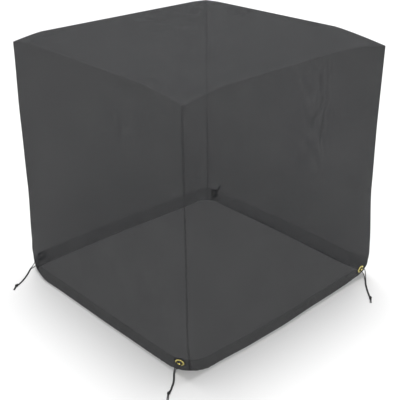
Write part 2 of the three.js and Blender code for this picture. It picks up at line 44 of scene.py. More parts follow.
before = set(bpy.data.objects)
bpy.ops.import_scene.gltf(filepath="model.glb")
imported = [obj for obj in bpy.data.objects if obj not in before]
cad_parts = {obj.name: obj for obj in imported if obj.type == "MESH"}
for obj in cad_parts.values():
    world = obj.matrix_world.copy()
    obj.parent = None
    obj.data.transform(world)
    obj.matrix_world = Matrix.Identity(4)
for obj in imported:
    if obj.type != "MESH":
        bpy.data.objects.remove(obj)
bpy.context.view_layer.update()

# Sizes of the cover, as the part has them
TOP_WIDTH = 0.914
HALF = TOP_WIDTH / 2
STAND_HEIGHT = 0.95
CLOTH = 0.002
HEM_HEIGHT = 0.06
HEM_PLY = 0.0007  # what the folded hem adds on each face
SEAM_GAP = 0.0003  # between a wall and the top
SEAM_RADIUS = 0.004  # plan rounding of a corner at the top
BULGE_HEIGHT = 0.42  # below this the walls bow towards the hem line
BOW_FADE = 0.024  # that bow fades out within this of a seam
DROOP_POWER = 1.3  # how sharply a corner's droop sets in
LIFT_REACH = 0.19  # how far from a corner its lift goes
FOLD_MARGIN = 0.06  # folds fade out within this share of a wall's ends
FOLD_POWER = 0.7  # how soon a fold reaches its depth on the way up
FLOOR = CLOTH - STAND_HEIGHT
OFF_FLOOR = 0.0001  # least height of the cloth over the floor

GROMMET_OUTER = 0.032
GROMMET_HOLE = 0.017
GROMMET_BARREL = 0.001  # thickness of the barrel that lines the hole
GROMMET_FLANGE = 0.0022  # height of the dome over its seat
GROMMET_CLEARANCE = 0.0003
GROMMET_HEIGHT = 0.04  # of its middle over the hem's edge
GROMMET_FLAT = 0.0175  # half the side of the flat square of cloth around it
FLAT_TOP = GROMMET_HEIGHT + GROMMET_FLAT
FLAT_FOOT = GROMMET_HEIGHT - GROMMET_FLAT
FLAT_REACH = GROMMET_FLAT * 1.45  # the cloth is flat within this of a grommet's middle
SEAM_KEPT = 0.0005  # and keeps its own shape within this of the seam

CORD = 0.0031
STRAND_SPREAD = 0.00172  # of each strand from the line between the two
KNOT_LENGTH = 0.013
KNOT_RADIUS = 0.0052
KNOT_GAP = 0.0004  # between the end of the run and the knot
KNOT_START = math.radians(35)  # where a strand's turns round the knot start
KNOT_TURNS = 1.22
KNOT_STEPS = 22
KNOT_TUCK = 0.7  # radius at the turns' ends, as a share of what it is between them
KNOT_TIGHT = 0.98  # how much of its thickness the cord keeps in the knot
TAIL_LENGTH = 0.022  # of a cut end
TAIL_SPLAY = 0.0006  # how far each end leans away from the other

# Heights up a corner's seam at which stand_off is given
SEAM_HEIGHTS = (0.0, 0.018, 0.04, 0.085, 0.142, 0.38, 0.665, 0.95)


def at_heights(*values):
    """A table of (height, value) up a corner's seam."""
    return list(zip(SEAM_HEIGHTS, values))


# How each corner stands. droop: how far the top's corner hangs; reach: where the droop starts,
# measured in from the corner; hem_radius: plan rounding at the hem; rounded: the heights between
# which that rounding goes; lift: hem off the floor; stand_off: how far the seam stands outside
# the top's corner.
CORNERS = {
    "front_left": {
        "side": (-1, -1),
        "droop": 0.017,
        "reach": 0.085,
        "hem_radius": 0.026,
        "rounded": (0.0, 0.12),
        "lift": 0.0,
        "stand_off": at_heights(0.021, 0.0255, 0.027, 0.025, 0.021, 0.012, 0.0076, 0.0),
    },
    "front_right": {
        "side": (1, -1),
        "droop": 0.022,
        "reach": 0.115,
        "hem_radius": 0.096,
        "rounded": (0.034, 0.16),
        "lift": 0.0,
        "stand_off": at_heights(0.0005, 0.004, 0.008, 0.013, 0.014, 0.007, 0.003, 0.0),
    },
    "back_right": {
        "side": (1, 1),
        "droop": 0.03,
        "reach": 0.16,
        "hem_radius": 0.016,
        "rounded": (0.0, 0.12),
        "lift": 0.011,
        "stand_off": at_heights(0.001, 0.0085, 0.014, 0.0155, 0.0135, 0.0025, -0.0005, 0.0),
    },
    "back_left": {
        "side": (-1, 1),
        "droop": 0.004,
        "reach": 0.06,
        "hem_radius": 0.06,
        "rounded": (0.02, 0.14),
        "lift": 0.003,
        "stand_off": at_heights(0.004, 0.006, 0.009, 0.012, 0.012, 0.006, 0.003, 0.0),
    },
}

# The walls, seen from outside: their ends, the way they face in degrees, how far the middle of the
# grommet is from the right end's seam, how far the hem bows out of the line between its corners as
# (share of the wall, out), and their soft folds as (across, width, from, to, lean, depth), where
# depth is positive outwards.
WALLS = {
    "front": {
        "ends": ("front_left", "front_right"),
        "facing": -90,
        "grommet_to_seam": 0.03,
        "hem_line": [(0, 0), (0.12, 0.022), (0.25, 0.018), (0.5, 0.0145), (0.75, 0.008), (1, 0)],
        "folds": [
            (0.2, 0.16, 0.12, 0.94, -0.14, -0.004),
            (0.42, 0.2, 0.06, 0.7, 0.03, 0.003),
            (0.78, 0.16, 0.09, 0.9, 0.13, -0.0035),
        ],
    },
    "right": {
        "ends": ("front_right", "back_right"),
        "facing": 0,
        "grommet_to_seam": 0.043,
        "hem_line": [
            *[(0, 0), (0.14, 0.003), (0.3, 0.011), (0.47, 0.013)],
            *[(0.67, 0.0065), (0.88, 0.003), (1, 0)],
        ],
        "folds": [
            (0.16, 0.15, 0.1, 0.92, -0.1, -0.0035),
            (0.55, 0.22, 0.05, 0.64, -0.04, 0.003),
            (0.8, 0.17, 0.11, 0.93, 0.12, -0.0045),
        ],
    },
    "back": {
        "ends": ("back_right", "back_left"),
        "facing": 90,
        "grommet_to_seam": 0.035,
        "hem_line": [(0, 0), (0.25, 0.008), (0.5, 0.012), (0.8, 0.007), (1, 0)],
        "folds": [
            (0.22, 0.18, 0.1, 0.93, -0.13, -0.0045),
            (0.5, 0.2, 0.07, 0.62, 0.02, 0.003),
            (0.82, 0.14, 0.12, 0.86, 0.06, -0.0025),
        ],
    },
    "left": {
        "ends": ("back_left", "front_left"),
        "facing": 180,
        "grommet_to_seam": 0.034,
        "hem_line": [(0, 0), (0.25, 0.009), (0.5, 0.013), (0.8, 0.009), (1, 0)],
        "folds": [
            (0.15, 0.14, 0.12, 0.86, -0.05, -0.0025),
            (0.47, 0.2, 0.06, 0.68, 0.04, 0.003),
            (0.76, 0.18, 0.1, 0.93, 0.13, -0.004),
        ],
    },
}

# The ties, as the part has them. Each strand has a head of its own, from inside its grommet down to
# the floor, as (towards the seam, up, out) from the middle of the grommet. Both strands then lie
# side by side along one run to the knot, as (x, y, height above the floor). tail_turn is how many
# degrees the cut ends turn from the end of the run.
TIES = {
    "front": {
        "tail_turn": 16,
        "heads": {
            "a": [
                (0.0024, -0.002, 0.0011), (0.0034, -0.0046, 0.0034), (0.0036, -0.0082, 0.0056),
                (0.0014, -0.0124, 0.007), (-0.0024, -0.0168, 0.0078), (-0.0068, -0.021, 0.0082),
                (-0.011, -0.025, 0.0106),
            ],
            "b": [
                (-0.0024, 0.0004, 0.0011), (-0.005, 0.0006, 0.0028), (-0.0086, -0.0006, 0.0056),
                (-0.0126, -0.004, 0.0072), (-0.0158, -0.0096, 0.0078), (-0.0176, -0.0162, 0.0078),
                (-0.0178, -0.0224, 0.009),
            ],
        },
        "run": [
            (0.3994, -0.4698, 0.005), (0.4026, -0.4736, 0.0024), (0.407, -0.4784, 0.0016),
            (0.4118, -0.483, 0.0016), (0.4174, -0.4878, 0.0016), (0.4255, -0.4944, 0.0016),
            (0.4345, -0.5032, 0.0016), (0.4425, -0.5126, 0.0016), (0.4495, -0.5222, 0.0016),
            (0.4564, -0.5312, 0.0016), (0.4616, -0.5396, 0.0019), (0.465, -0.5458, 0.003),
        ],
    },
    "right": {
        "tail_turn": -12,
        "heads": {
            "a": [
                (0.002, 0.0014, 0.0011), (0.0046, 0.0018, 0.0028), (0.0084, 0.0012, 0.0056),
                (0.0128, -0.0008, 0.0072), (0.018, -0.0048, 0.0078), (0.0228, -0.0108, 0.0088),
                (0.0256, -0.018, 0.0108), (0.026, -0.0256, 0.0136), (0.0236, -0.0322, 0.0176),
                (0.0192, -0.0368, 0.0224),
            ],
            "b": [
                (-0.0016, -0.0026, 0.0011), (-0.0004, -0.0052, 0.003), (0.002, -0.0082, 0.0056),
                (0.0054, -0.0114, 0.007), (0.0096, -0.0158, 0.0078), (0.0132, -0.0216, 0.0102),
                (0.015, -0.028, 0.0138), (0.0144, -0.0336, 0.0184), (0.0116, -0.0372, 0.0236),
            ],
        },
        "run": [
            (0.4924, 0.4308, 0.002), (0.4964, 0.426, 0.0016), (0.5016, 0.4196, 0.0016),
            (0.5084, 0.411, 0.0016), (0.516, 0.4022, 0.0016), (0.5246, 0.3934, 0.0016),
            (0.5346, 0.3834, 0.0016), (0.5458, 0.3726, 0.0016), (0.5576, 0.3618, 0.0016),
            (0.5694, 0.3516, 0.0018), (0.5794, 0.343, 0.003),
        ],
    },
    "back": {
        "tail_turn": 14,
        "heads": {
            "a": [
                (0.002, 0.0014, 0.0011), (0.0048, 0.0016, 0.0028), (0.0086, 0.0008, 0.0056),
                (0.0128, -0.0018, 0.0072), (0.0174, -0.007, 0.0078), (0.0212, -0.0144, 0.0088),
                (0.024, -0.0224, 0.012), (0.0264, -0.0298, 0.0168),
            ],
            "b": [
                (-0.0016, -0.0026, 0.0011), (-0.0006, -0.0054, 0.0032), (0.0012, -0.009, 0.0058),
                (0.0038, -0.0134, 0.0074), (0.0076, -0.019, 0.008), (0.0122, -0.0252, 0.011),
                (0.017, -0.0308, 0.0154), (0.0218, -0.0352, 0.0206),
            ],
        },
        "run": [
            (-0.4486, 0.4894, 0.0022), (-0.4534, 0.4942, 0.0016), (-0.4596, 0.5006, 0.0016),
            (-0.4678, 0.5098, 0.0016), (-0.4758, 0.521, 0.0016), (-0.4834, 0.5332, 0.0016),
            (-0.4902, 0.5462, 0.0016), (-0.496, 0.5592, 0.0018), (-0.4996, 0.568, 0.003),
        ],
    },
    "left": {
        "tail_turn": 18,
        "heads": {
            "a": [
                (-0.0014, -0.0026, 0.0011), (-0.001, -0.0054, 0.0032), (0.0004, -0.009, 0.0058),
                (0.003, -0.0138, 0.0074), (0.0074, -0.02, 0.0078), (0.014, -0.0268, 0.0068),
                (0.0226, -0.0326, 0.0054), (0.0324, -0.036, 0.0048), (0.0422, -0.0376, 0.004),
            ],
            "b": [
                (0.0024, 0.0012, 0.0011), (0.0052, 0.001, 0.003), (0.009, 0.0, 0.0056),
                (0.0134, -0.0026, 0.0072), (0.0192, -0.008, 0.0078), (0.027, -0.016, 0.0066),
                (0.0356, -0.0244, 0.005), (0.0442, -0.0316, 0.0048),
            ],
        },
        "run": [
            (-0.4824, -0.4976, 0.002), (-0.4766, -0.5044, 0.0016), (-0.469, -0.5128, 0.0016),
            (-0.46, -0.5226, 0.0016), (-0.4494, -0.5346, 0.0016), (-0.4396, -0.547, 0.0016),
            (-0.4304, -0.5596, 0.0016), (-0.422, -0.5724, 0.0016), (-0.4144, -0.5866, 0.0018),
            (-0.4098, -0.5974, 0.003),
        ],
    },
}
SIDES = {"a": 1, "b": -1}  # side of the run that each strand lies on

# Section of a grommet's ring, from the rim of its domed face into the bore and back to the seat
# that the rim rests on: (radius, height above the middle of the cloth)
RING_SEAT = CLOTH / 2 + HEM_PLY + GROMMET_CLEARANCE
RING_SECTION = [
    (GROMMET_OUTER / 2, RING_SEAT),
    (0.01598, RING_SEAT + 0.00035),
    (0.01582, RING_SEAT + 0.0008),
    (0.01546, RING_SEAT + 0.00125),
    (0.0149, RING_SEAT + 0.00163),
    (0.01415, RING_SEAT + 0.00194),
    (0.01325, RING_SEAT + 0.00214),
    (0.0123, RING_SEAT + GROMMET_FLANGE),
    (0.01135, RING_SEAT + 0.00213),
    (0.01052, RING_SEAT + 0.0019),
    (0.0098, RING_SEAT + 0.0015),
    (0.00922, RING_SEAT + 0.00098),
    (0.0088, RING_SEAT + 0.0004),
    (0.00856, RING_SEAT - 0.0003),
    (GROMMET_HOLE / 2, RING_SEAT - 0.001),
    (GROMMET_HOLE / 2, 0.0),
    (GROMMET_HOLE / 2 + GROMMET_BARREL, 0.0),
    (GROMMET_HOLE / 2 + GROMMET_BARREL, RING_SEAT),
]

ALLOWANCE = 0.0038  # cloth turned in behind a seam
ALLOWANCE_TUCK = 0.3  # how much of the outer face's offset is left behind a seam
BEHIND = 0.0009  # how far turned-in cloth lies behind the outer face
TURNED_FADE = 0.01  # near a grommet's ring turned-up cloth gets clearer over this distance
SHARP_CLOTH = math.radians(50)  # an edge with a greater angle is shaded sharp
SHARP_BRASS = math.radians(40)

# Grid of the cloth. Near its seams a wall's columns keep their distance from the seam, and
# between these two reaches they are spread evenly
LEFT_REACH = 0.086
RIGHT_REACH = 0.112
BEHIND_SEAM = (ALLOWANCE, ALLOWANCE / 2, 0.0008)  # columns of the cloth turned in, edge first
BESIDE_SEAM = (0.0, 0.0008, 0.0018)  # columns next to the seam
GRID_START = 0.004  # distance from the seam where the even columns start
FINE_HEIGHT = 0.14  # below this the rows are closer together
TOP_BEYOND = (ALLOWANCE, ALLOWANCE / 2, 0.001)  # rows of the top's cloth turned down
TOP_EDGE = (0.0, SEAM_RADIUS / 2, SEAM_RADIUS, 0.009, 0.016, 0.023)  # rows in from its seam
TOP_GRID_START = 0.03  # distance from its seam where the even rows start
HOLE_RINGS = (0.35, 0.7, 1.0)  # rings of points from the flat square in to the hole

# Small gathers at the hem
PUCKER_DEPTH = 0.0012
PUCKER_FREE = 0.12  # none within this of a wall's middle line
PUCKER_FOOT = 0.03  # full depth below this height
PUCKER_RISE = 0.11  # and none this far above it
PUCKER_SEAM = 0.03  # they fade out within this of a seam
PUCKER_WAVES = ((0.021, 1.0, 1.0), (0.034, 0.6, 2.3))  # (length, share, share of the phase)

# Stitching
STITCH_LINE = 0.0588  # height of the stitches that close the hem's tunnel
STITCH_STEP = 0.0038  # below them the outer ply swells to the tunnel within this
TUNNEL_TOP = 0.046  # above this the turned-up ply leans to the stitches
ROW_GRID = 0.004  # spacing of the points that the hem's row of stitches follows
ROW_SHARE = 0.0056  # the same at a wall's middle, as a share of it
SEAM_GRID = 0.005  # spacing of the points that the other rows follow
ROW_FOOT = 0.006  # height of the last stitch beside a seam
ROW_INSET = ALLOWANCE * 0.75  # distance of such a row from its seam
ARCH = ((0.0, -0.6), (0.16, 0.8), (0.84, 0.8), (1.0, -0.6))  # (share of a stitch, radii up)
THREAD_SIDES = 5  # of the section of the sewing thread
DOME = ((0.35, 0.94), (0.7, 0.71), (0.94, 0.34))  # end of a cord: (radii on, share of radius)

# Where the photograph was taken from: place, and the picture's right, up and backward directions
CAMERA_PLACE = (1.8392, -1.6141, 0.6170)
CAMERA_RIGHT = (0.6657, 0.7461, -0.0137)
CAMERA_UP = (-0.33, 0.3108, 0.8914)
CAMERA_BACK = (0.6693, -0.5888, 0.4531)
KEY_PLACE = (-0.47, 0.47, 4.1)  # where the overhead light shines from
FRONT_PLACE = (2.0, -1.8, 3.0)  # where the front light shines from


def mix(low, high, share):
    """The value a share of the way from low to high."""
    return low + (high - low) * share


def smooth(share):
    """A share from 0 to 1 that eases in and out."""
    share = min(1.0, max(0.0, share))
    return share * share * (3 - 2 * share)


def steps(start, end, size):
    """Even steps from start to end, both included, of about this size."""
    count = max(1, round(abs(end - start) / size))
    return [mix(start, end, index / count) for index in range(count + 1)]


def look_up(table, place):
    """Value of a rising table of (place, value), half straight and half smoothed between rows."""
    if place <= table[0][0]:
        return table[0][1]
    for (low, low_value), (high, high_value) in zip(table, table[1:]):
        if place <= high:
            share = (place - low) / (high - low)
            return mix(low_value, high_value, 0.5 * smooth(share) + 0.5 * share)
    return table[-1][1]


def catmull_rom(points, spacing):
    """Points about spacing apart on a centripetal Catmull-Rom curve through the given ones."""
    ghosts = [points[0] * 2 - points[1], *points, points[-1] * 2 - points[-2]]
    line = []
    for a, b, c, d in zip(ghosts, ghosts[1:], ghosts[2:], ghosts[3:]):
        knots = [0.0]
        for start, end in ((a, b), (b, c), (c, d)):
            knots.append(knots[-1] + math.sqrt((end - start).length))
        count = max(1, round((c - b).length / spacing))
        for step in range(count):
            t = mix(knots[1], knots[2], step / count)
            first = a.lerp(b, (t - knots[0]) / (knots[1] - knots[0]))
            second = b.lerp(c, (t - knots[1]) / (knots[2] - knots[1]))
            third = c.lerp(d, (t - knots[2]) / (knots[3] - knots[2]))
            near = first.lerp(second, (t - knots[0]) / (knots[2] - knots[0]))
            far = second.lerp(third, (t - knots[1]) / (knots[3] - knots[1]))
            line.append(near.lerp(far, (t - knots[1]) / (knots[2] - knots[1])))
    return [*line, points[-1]]


def length_of(line):
    """Length along a line of points."""
    return sum((end - start).length for start, end in zip(line, line[1:]))


# The shape of the cloth


def top_height(x, y):
    """Upper face of the top panel: flat, with its four corners hanging past a soft crease."""
    height = CLOTH
    for corner in CORNERS.values():
        side_x, side_y = corner["side"]
        in_from_corner = math.sqrt(0.5) * (TOP_WIDTH - x * side_x - y * side_y)
        height -= corner["droop"] * max(0.0, 1 - in_from_corner / corner["reach"]) ** DROOP_POWER
    return height


def corner_radius(name, height):
    """Plan rounding of a corner, from tight at the top to its own at the hem."""
    low, high = CORNERS[name]["rounded"]
    return mix(SEAM_RADIUS, CORNERS[name]["hem_radius"], smooth((high - height) / (high - low)))


def end_of_wall(from_seam, radius):
    """Place along the wall, depth and turn of the cloth, from_seam away from the corner's seam."""
    arc = radius * math.pi / 4
    if from_seam >= arc:
        return HALF - radius - (from_seam - arc), HALF, 0.0
    turn = math.pi / 4 - from_seam / radius
    along = HALF - radius + radius * math.sin(turn)
    return along, HALF - radius + radius * math.cos(turn), turn


def plan_of_column(wall, column, height):
    """A column is ("left" or "right", distance from that seam) or ("middle", share)."""
    end, value = column
    left_radius, right_radius = (corner_radius(name, height) for name in wall["ends"])
    if end == "left":
        along, depth, turn = end_of_wall(value, left_radius)
        return -along, depth, -turn
    if end == "right":
        return end_of_wall(value, right_radius)
    first = -end_of_wall(LEFT_REACH, left_radius)[0]
    last = end_of_wall(RIGHT_REACH, right_radius)[0]
    return mix(first, last, value), HALF, 0.0


def fold_depth(wall, share, height):
    """How far the wall's folds push the cloth out at a share of its width and a height."""
    depth = 0.0
    for across, width, foot, head, lean, most in wall["folds"]:
        up = (height - foot) / (head - foot)
        if not 0 < up < 1:
            continue
        place = (share - across - lean * up) / width
        if abs(place) < 1:
            across_fold = math.cos(place * math.pi / 2) ** 2
            depth += most * across_fold * math.sin(up * math.pi) ** FOLD_POWER
    return depth * smooth(min(share, 1 - share) / FOLD_MARGIN)


def stand_off(x, y, height):
    """How far the walls stand outside the top's square, shared out between its corners."""
    shift = Vector((0.0, 0.0))
    for corner in CORNERS.values():
        side = Vector(corner["side"])
        weight = 0.25 * (HALF + side.x * x) * (HALF + side.y * y) / HALF**2
        shift += side * weight * look_up(corner["stand_off"], height)
    return shift


def cloth_point(name, column, height):
    """Middle of the cloth at a column and a height, and the way its outer face looks there."""
    wall = WALLS[name]
    facing = math.radians(wall["facing"])
    outward = Vector((math.cos(facing), math.sin(facing)))
    rightward = Vector((-outward.y, outward.x))
    along, depth, turn = plan_of_column(wall, column, height)
    flat = rightward * along + outward * depth
    share = (along + HALF) / TOP_WIDTH
    look = Matrix.Rotation(turn, 2) @ outward
    from_seam = 1.0 if column[0] == "middle" else column[1]
    bow = look_up(wall["hem_line"], share) * (1 - smooth(height / BULGE_HEIGHT))
    bow *= smooth(from_seam / BOW_FADE)
    spot = flat + stand_off(flat.x, flat.y, height) + outward * bow
    spot += look * (fold_depth(wall, share, height) - CLOTH / 2)
    foot = FLOOR
    for end in wall["ends"]:
        corner = CORNERS[end]
        away = (flat - Vector(corner["side"]) * HALF).length
        foot += corner["lift"] * max(0.0, 1 - away / LIFT_REACH) ** 2
    seam_top = top_height(flat.x, flat.y) - CLOTH - SEAM_GAP
    z = mix(foot, seam_top, height / STAND_HEIGHT)
    return Vector((spot.x, spot.y, z)), Vector((look.x, look.y, 0.0))


def grommet_seat(name):
    """The flat that a grommet makes in the cloth: its middle and three directions."""
    to_seam = WALLS[name]["grommet_to_seam"]
    columns = [("right", to_seam + reach * GROMMET_FLAT) for reach in (-1, 1)]
    near_foot, far_foot = (cloth_point(name, column, FLAT_FOOT)[0] for column in columns)
    near_top, far_top = (cloth_point(name, column, FLAT_TOP)[0] for column in columns)
    across = near_foot + near_top - far_foot - far_top
    across.z = 0.0
    across.normalize()
    rise = near_top + far_top - near_foot - far_foot
    rise = (rise - across * rise.dot(across)).normalized()
    return {
        "middle": (near_foot + near_top + far_foot + far_top) / 4,
        "normal": across.cross(rise).normalized(),
        "across": across,
        "rise": rise,
        "to_seam": to_seam,
    }


def flattened(point, look, seat):
    """Pulls the cloth around a grommet onto the grommet's plane, and leaves the seam alone."""
    offset = point - seat["middle"]
    away = math.hypot(offset.dot(seat["across"]), offset.dot(seat["rise"]))
    fade = seat["to_seam"] - FLAT_REACH - SEAM_KEPT
    share = 1 - smooth((away - FLAT_REACH) / fade)
    spot = point - seat["normal"] * offset.dot(seat["normal"]) * share
    return spot, look.lerp(seat["normal"], share).normalized()


def along_wall(column):
    """Distance along the flat cloth from the wall's middle line, for the weave."""
    end, value = column
    if end == "left":
        return value - HALF
    if end == "right":
        return HALF - value
    return mix(LEFT_REACH - HALF, HALF - RIGHT_REACH, value)


# Meshes


def mesh_object(name, points, faces, uvs=None, sharp=None, turned=None):
    """An object from points, faces and one weave coordinate per point. sharp is the angle past
    which an edge is shaded sharp. turned is 1 at a point of cloth that is turned in behind a seam
    or up inside the hem, and 0 elsewhere."""
    mesh = bpy.data.meshes.new(name)
    mesh.from_pydata(points, [], faces)
    mesh.validate()
    if uvs:
        layer = mesh.uv_layers.new(name="weave")
        for loop in mesh.loops:
            layer.data[loop.index].uv = uvs[loop.vertex_index]
    if turned:
        mesh.attributes.new("turned", "FLOAT", "POINT").data.foreach_set("value", turned)
    for polygon in mesh.polygons:
        polygon.use_smooth = True
    if sharp:
        mesh.set_sharp_from_angle(angle=sharp)
    piece = bpy.data.objects.new(name, mesh)
    bpy.context.scene.collection.objects.link(piece)
    return piece


def tube(line, radius, sides, rounded=True):
    """Points, faces and weave coordinates of a round tube along a line, with domed ends."""
    radii = [radius] * len(line)
    if rounded:
        heading = (line[0] - line[1]).normalized()
        tail = (line[-1] - line[-2]).normalized()
        before = [(line[0] + heading * radius * out, radius * wide) for out, wide in DOME]
        after = [(line[-1] + tail * radius * out, radius * wide) for out, wide in DOME]
        line = [spot for spot, _ in reversed(before)] + list(line) + [spot for spot, _ in after]
        radii = [wide for _, wide in reversed(before)] + radii + [wide for _, wide in after]
    points = []
    uvs = []
    tangent = (line[1] - line[0]).normalized()
    up = tangent.orthogonal().normalized()
    run = 0.0
    for index, spot in enumerate(line):
        ahead = line[min(index + 1, len(line) - 1)] - line[max(index - 1, 0)]
        turned = ahead.normalized()
        up = tangent.rotation_difference(turned) @ up
        tangent = turned
        side = tangent.cross(up).normalized()
        if index:
            run += (spot - line[index - 1]).length
        for corner in range(sides):
            angle = 2 * math.pi * corner / sides
            reach = up * math.cos(angle) + side * math.sin(angle)
            points.append(spot + reach * radii[index])
            uvs.append((corner / sides, run))
    faces = []
    for ring in range(len(line) - 1):
        for corner in range(sides):
            following = (corner + 1) % sides
            low = ring * sides
            high = low + sides
            faces.append((low + corner, low + following, high + following, high + corner))
    faces.append(tuple(reversed(range(sides))))
    faces.append(tuple(range((len(line) - 1) * sides, len(line) * sides)))
    return points, faces, uvs


def joined(parts):
    """Joins several lists of points, faces and weave coordinates into one."""
    points, faces, uvs = [], [], []
    for part_points, part_faces, part_uvs in parts:
        first = len(points)
        points.extend(part_points)
        faces.extend(tuple(index + first for index in face) for face in part_faces)
        uvs.extend(part_uvs)
    return points, faces, uvs


# Shader trees


class Value:
    """A number in a shader tree, so that shader maths reads as Python."""

    def __init__(self, shader, socket):
        self.shader = shader
        self.socket = socket

    def maths(self, operation, *terms):
        """A Math node on these terms, numbers or values."""
        inputs = dict(enumerate(terms))
        return self.shader.node("ShaderNodeMath", {"operation": operation}, inputs)

    def __add__(self, other):
        return self.maths("ADD", self, other)

    def __radd__(self, other):
        return self.maths("ADD", other, self)

    def __sub__(self, other):
        return self.maths("SUBTRACT", self, other)

    def __rsub__(self, other):
        return self.maths("SUBTRACT", other, self)

    def __mul__(self, other):
        return self.maths("MULTIPLY", self, other)

    def __rmul__(self, other):
        return self.maths("MULTIPLY", other, self)

    def __truediv__(self, other):
        return self.maths("DIVIDE", self, other)

    def __rtruediv__(self, other):
        return self.maths("DIVIDE", other, self)

    def sine(self):
        return self.maths("SINE", self)

    def absolute(self):
        return self.maths("ABSOLUTE", self)

    def fraction(self):
        return self.maths("FRACT", self)

    def greatest(self, other):
        return self.maths("MAXIMUM", self, other)

    def ramp(self, low, high):
        """0 below low, 1 above high and a smooth step between."""
        inputs = {"Value": self, "From Min": low, "From Max": high}
        settings = {"interpolation_type": "SMOOTHSTEP"}
        return self.shader.node("ShaderNodeMapRange", settings, inputs)


class Shader:
    """The node tree of a new material or world."""

    def __init__(self, owner):
        self.owner = owner
        self.owner.use_nodes = True
        self.tree = owner.node_tree
        self.tree.nodes.clear()

    def node(self, kind, settings=None, inputs=None, output=0):
        """Adds a node: its settings first, then what feeds its inputs. Gives one output, if any."""
        made = self.tree.nodes.new(kind)
        for key, value in (settings or {}).items():
            setattr(made, key, value)
        for key, value in (inputs or {}).items():
            if isinstance(value, Value):
                self.tree.links.new(value.socket, made.inputs[key])
            else:
                made.inputs[key].default_value = value
        return Value(self, made.outputs[output]) if made.outputs else None

    def blend(self, share, low, high):
        """A colour between two others. Sockets 0, 6 and 7 are the share and both colours."""
        inputs = {0: share, 6: low, 7: high}
        return self.node("ShaderNodeMix", {"data_type": "RGBA"}, inputs, output=2)

    def noise(self, coordinates, scale, detail=2.0, roughness=0.5):
        """Smooth noise from 0 to 1."""
        inputs = {"Vector": coordinates, "Scale": scale, "Detail": detail, "Roughness": roughness}
        return self.node("ShaderNodeTexNoise", {}, inputs)

    def coordinates(self, kind):
        """One kind of texture coordinates, by its name."""
        return self.node("ShaderNodeTexCoord", output=kind)

    def weave_axes(self):
        """The two weave coordinates, in metres."""
        place = self.node("ShaderNodeUVMap", {"uv_map": "weave"})
        across = self.node("ShaderNodeSeparateXYZ", inputs={"Vector": place})
        return across, Value(self, across.socket.node.outputs["Y"])

    def bump(self, height, strength, distance):
        """A normal that follows a height. distance is how far up a height of 1 stands, in metres."""
        inputs = {"Height": height, "Strength": strength, "Distance": distance}
        return self.node("ShaderNodeBump", inputs=inputs)

    def finish(self, inputs):
        """The surface: one Principled shader with these inputs."""
        surface = self.node("ShaderNodeBsdfPrincipled", inputs=inputs)
        self.node("ShaderNodeOutputMaterial", inputs={"Surface": surface})
        return self.owner


def mesh_material(settings):
    """Sheer net: dark threads both ways with fine see-through gaps between them."""
    shader = Shader(bpy.data.materials.new("sheer mesh"))
    place = shader.coordinates("Object")
    wander = (shader.noise(place, 24.0, detail=2.0) - 0.5) * settings.thread_wander
    edge = 0.5 - (1 - settings.thread_share) / 2  # of a thread, in pitches from its middle
    fuzz = 0.08  # how soft that edge is
    openings = []
    for axis in shader.weave_axes():
        from_thread = 0.5 - ((axis / settings.weave_pitch + wander).fraction() - 0.5).absolute()
        openings.append(from_thread.ramp(edge - fuzz, edge + fuzz))
    gap = openings[0] * openings[1]
    drift = shader.noise(place, 7.0, detail=3.0) - 0.5
    turned = shader.node("ShaderNodeAttribute", {"attribute_name": "turned"}, output=2)
    solid = settings.thread_cover - gap * settings.gap_clearness + drift * 0.05
    solid = solid * (1 - turned * settings.turned_clearness)
    colour = shader.blend(gap, settings.thread_colour, settings.gap_colour)
    return shader.finish(
        {
            "Base Color": colour,
            "Roughness": 0.85,
            "Specular IOR Level": 0.12,
            "Alpha": solid,
            "Normal": shader.bump(1 - gap, 0.35, 0.0003),
        }
    )


def cord_material(settings):
    """Braided cord: bundles of yarn that cross both ways around it, with painted shade in the
    grooves between them.
    """
    shader = Shader(bpy.data.materials.new("braided cord"))
    around, along = shader.weave_axes()
    bundles = 4  # each way
    turn = 2 * math.pi
    first = ((around * bundles + along / settings.braid_pitch) * turn).sine()
    second = ((around * bundles - along / settings.braid_pitch) * turn).sine()
    raised = first.greatest(second) * 0.5 + 0.5
    fibres = shader.noise(shader.coordinates("Object"), 2600.0, detail=3.0, roughness=0.65)
    # Painted shade: the grooves between the bundles get the darker colour, as if shade fell in them
    colour = shader.blend(raised, settings.grain_and_groove_shade_colour, settings.strand_colour)
    return shader.finish(
        {
            "Base Color": colour,
            "Roughness": 0.78,
            "Specular IOR Level": 0.3,
            "Sheen Weight": 0.2,
            "Normal": shader.bump(raised * 0.8 + fibres * 0.2, 0.6, 0.00025),
        }
    )


def thread_material(settings):
    """Polyester sewing thread."""
    shader = Shader(bpy.data.materials.new("sewing thread"))
    grain = shader.noise(shader.coordinates("Object"), 3200.0)
    return shader.finish(
        {
            # Here the darker colour only varies the thread's tone at random
            "Base Color": shader.blend(grain, settings.grain_and_groove_shade_colour, settings.strand_colour),
            "Roughness": 0.55,
            "Specular IOR Level": 0.35,
        }
    )


def brass_material(settings):
    """Stamped brass with fine wear."""
    shader = Shader(bpy.data.materials.new("stamped brass"))
    place = shader.coordinates("Object")
    wear = shader.noise(place, 420.0, detail=4.0, roughness=0.6)
    tarnish = shader.noise(place, 95.0, detail=2.0).ramp(0.42, 0.72)
    colour = shader.blend(tarnish * 0.35, settings.brass_colour, settings.tarnish_colour)
    return shader.finish(
        {
            "Base Color": colour,
            "Metallic": 1.0,
            "Roughness": 0.13 + wear * 0.13,
            "Normal": shader.bump(wear, 0.05, 0.0001),
        }
    )


def floor_material(settings):
    """Plain matt floor."""
    shader = Shader(bpy.data.materials.new("pale floor"))
    return shader.finish(
        {"Base Color": settings.floor_colour, "Roughness": 0.9, "Specular IOR Level": 0.1}
    )


def ready(piece, material, nodes=()):
    """Gives a piece its finish, attaches it to the root body and hides the CAD nodes it stands for.
    """
    piece.data.materials.append(material)
    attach(piece, "root")
    if nodes:
        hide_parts(*nodes)
    return piece


# Settings

